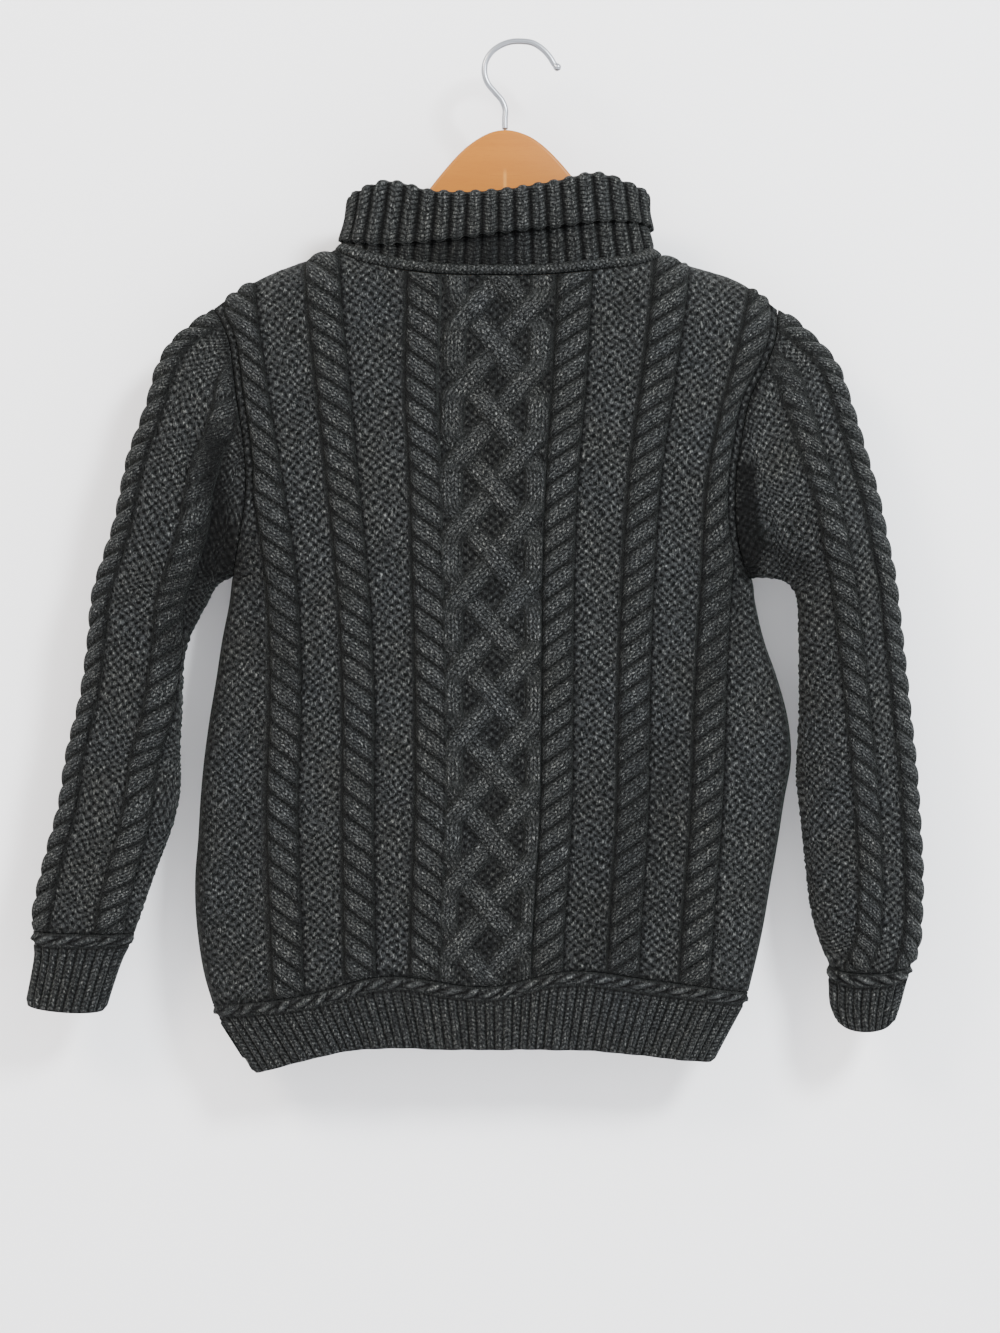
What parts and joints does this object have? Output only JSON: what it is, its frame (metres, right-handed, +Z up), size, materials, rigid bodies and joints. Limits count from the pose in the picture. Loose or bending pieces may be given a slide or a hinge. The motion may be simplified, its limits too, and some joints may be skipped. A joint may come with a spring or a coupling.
{
  "type": "cable knit sweater and hanger",
  "caption": "Cable knit pullover with folded roll collar, ribbed cuffs and hem, hung on a wooden hanger by its wire hook.",
  "frame": {"origin": "inner top of the hook's bend, where a rail or pin carries the hanger", "axes": "+Z up, +X across the shoulders, -Y towards the viewer, who sees the sweater's back; the front faces +Y"},
  "size_m": [0.5946, 0.0666, 0.6881],
  "materials": {
    "charcoal_wool": "knitted heathered wool",
    "beech": "satin varnish",
    "steel_wire": "plated wire"
  },
  "bodies": {
    "root": {"back": "charcoal_wool", "front": "charcoal_wool", "sleeve_left": "charcoal_wool", "sleeve_right": "charcoal_wool", "cuff_left": "charcoal_wool", "cuff_right": "charcoal_wool", "hem_band": "charcoal_wool", "neck_band": "charcoal_wool", "collar": "charcoal_wool", "hanger_wood": "beech", "hanger_hook": "steel_wire"}
  },
  "joints": []
}
